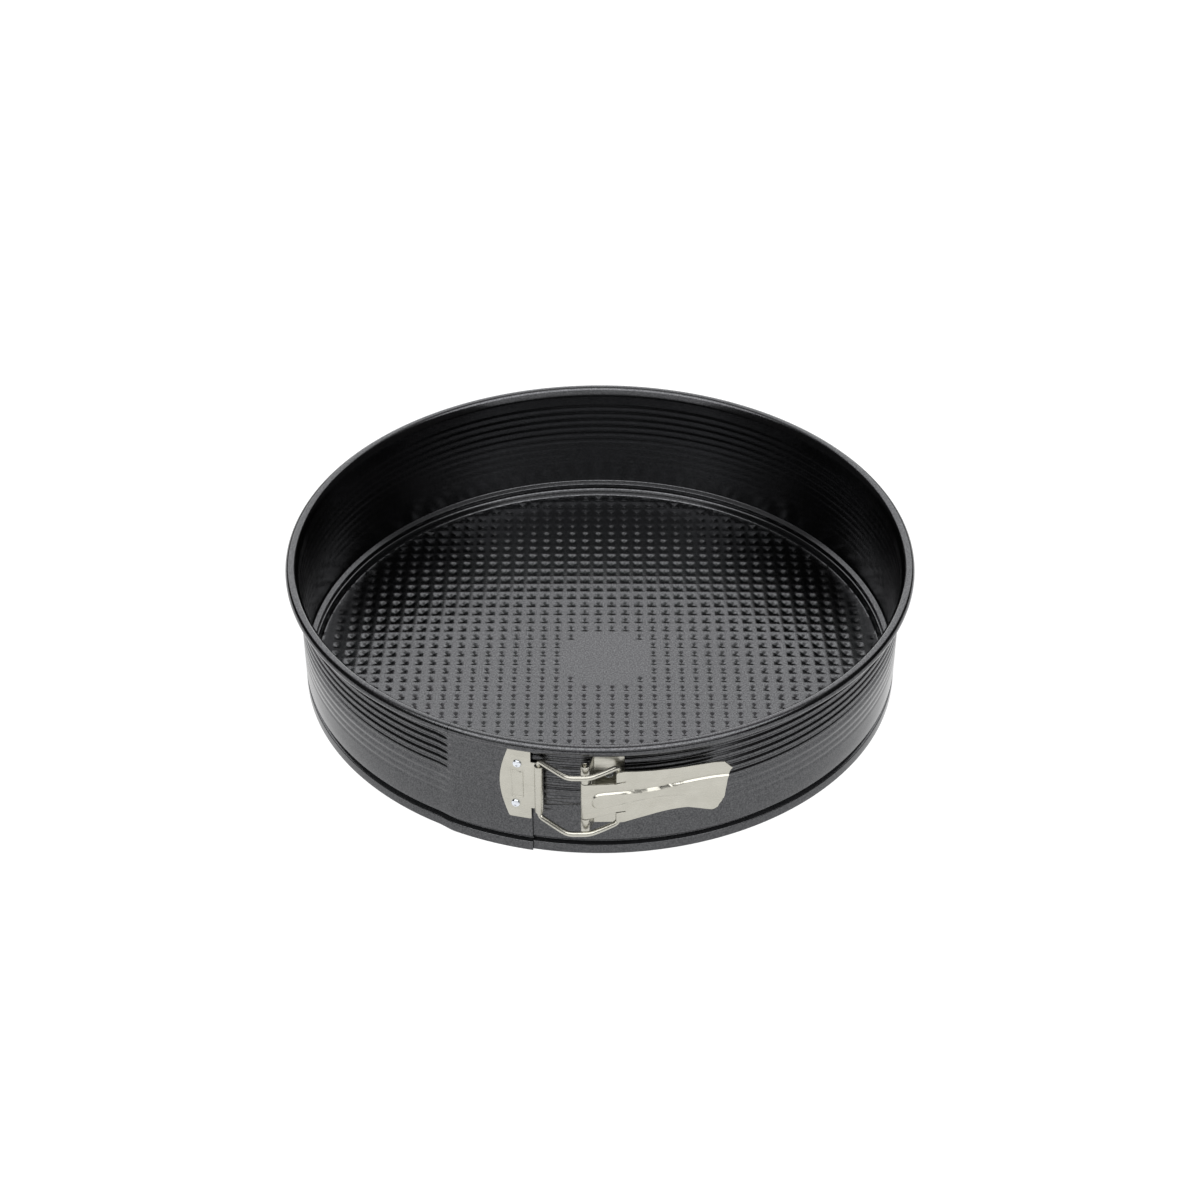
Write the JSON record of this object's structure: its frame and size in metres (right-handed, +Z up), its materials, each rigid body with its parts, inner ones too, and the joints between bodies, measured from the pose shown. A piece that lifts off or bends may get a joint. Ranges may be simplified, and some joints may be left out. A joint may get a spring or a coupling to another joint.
{
  "type": "springform pan",
  "caption": "Round springform baking pan: a steel band with ribbed walls and a rolled rim, a waffle-embossed base plate and an over-centre lever latch with a wire bail.",
  "frame": {"origin": "on the pan's round axis, at the level that the band and the base plate stand on", "axes": "+Z up; the latch is on the -Y side; the closed lever points towards +X"},
  "size_m": [0.2958, 0.304, 0.0642],
  "materials": {
    "nonstick_steel": "satin non-stick coating, dark anthracite with a fine metallic fleck",
    "nickel_plate": "satin nickel plate",
    "rivet_steel": "polished zinc-plated steel"
  },
  "bodies": {
    "base": {"base_plate": "nonstick_steel"},
    "ring_right": {"band_right": "nonstick_steel", "latch_bracket": "nickel_plate", "bracket_rivet_upper": "rivet_steel", "bracket_rivet_lower": "rivet_steel", "pivot_pin": "rivet_steel"},
    "ring_left": {"band_left": "nonstick_steel", "catch_plate": "nickel_plate", "catch_rivet_upper": "rivet_steel", "catch_rivet_lower": "rivet_steel"},
    "bail": {"bail": "nickel_plate"},
    "lever": {"latch_lever": "nickel_plate"}
  },
  "joints": [
    {"name": "ring_lift", "type": "slide", "parent": "base", "child": "ring_right", "axis": [0, 0, 1], "range_m": [0, 0.09]},
    {"name": "ring_spread", "type": "hinge", "parent": "ring_right", "child": "ring_left", "pos_m": [0, 0.1483, 0], "axis": [0, 0, -1], "range_deg": [0, 3.87]},
    {"name": "lever_swing", "type": "hinge", "parent": "ring_right", "child": "lever", "pos_m": [-0.0063, -0.1504, 0.0387], "axis": [0, 0, -1], "range_deg": [0, 150]},
    {"name": "bail_swing", "type": "hinge", "parent": "ring_left", "child": "bail", "pos_m": [-0.0262, -0.1432, 0.0387], "axis": [0, 0, -1], "range_deg": [0, 22.7]}
  ],
  "couplings": [
    {"joint": "ring_spread", "follows": "lever_swing", "ratio": 0.02572},
    {"joint": "bail_swing", "follows": "lever_swing", "ratio": 0.15088}
  ]
}
